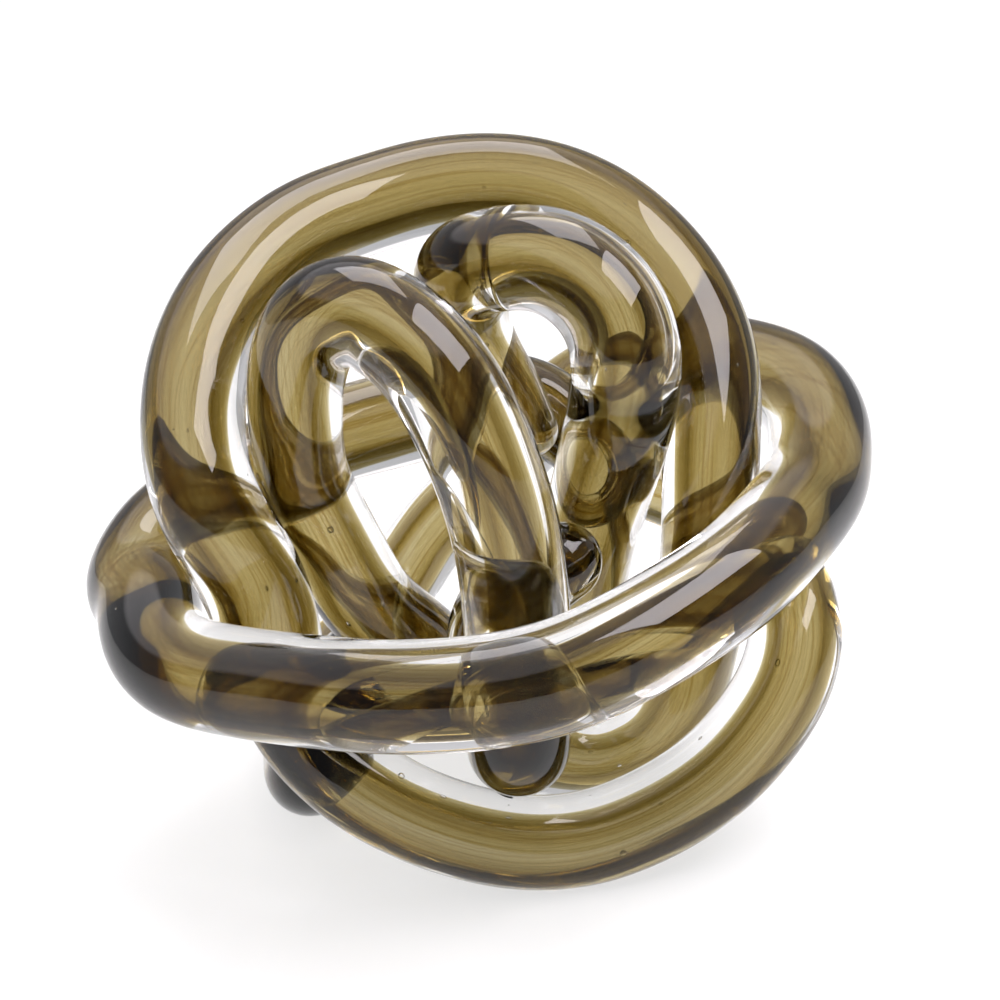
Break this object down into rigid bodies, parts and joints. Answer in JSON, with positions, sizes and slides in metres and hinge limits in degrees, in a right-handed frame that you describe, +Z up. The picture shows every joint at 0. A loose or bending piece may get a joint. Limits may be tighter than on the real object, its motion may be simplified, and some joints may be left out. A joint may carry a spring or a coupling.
{
  "type": "decorative ball",
  "caption": "Decorative ball: a thick rod of smoky amber glass in a clear casing, wound over and under itself into a loose round knot with gaps between its strands.",
  "frame": {"origin": "on the table, under the middle of the ball", "axes": "+X to the right in the picture, +Y away from the camera, +Z up"},
  "size_m": [0.1513, 0.1479, 0.1306],
  "materials": {
    "smoky_amber_glass": "fire-polished, glossy and clear"
  },
  "bodies": {
    "root": {"knotted_glass_rod": "smoky_amber_glass"}
  },
  "joints": []
}
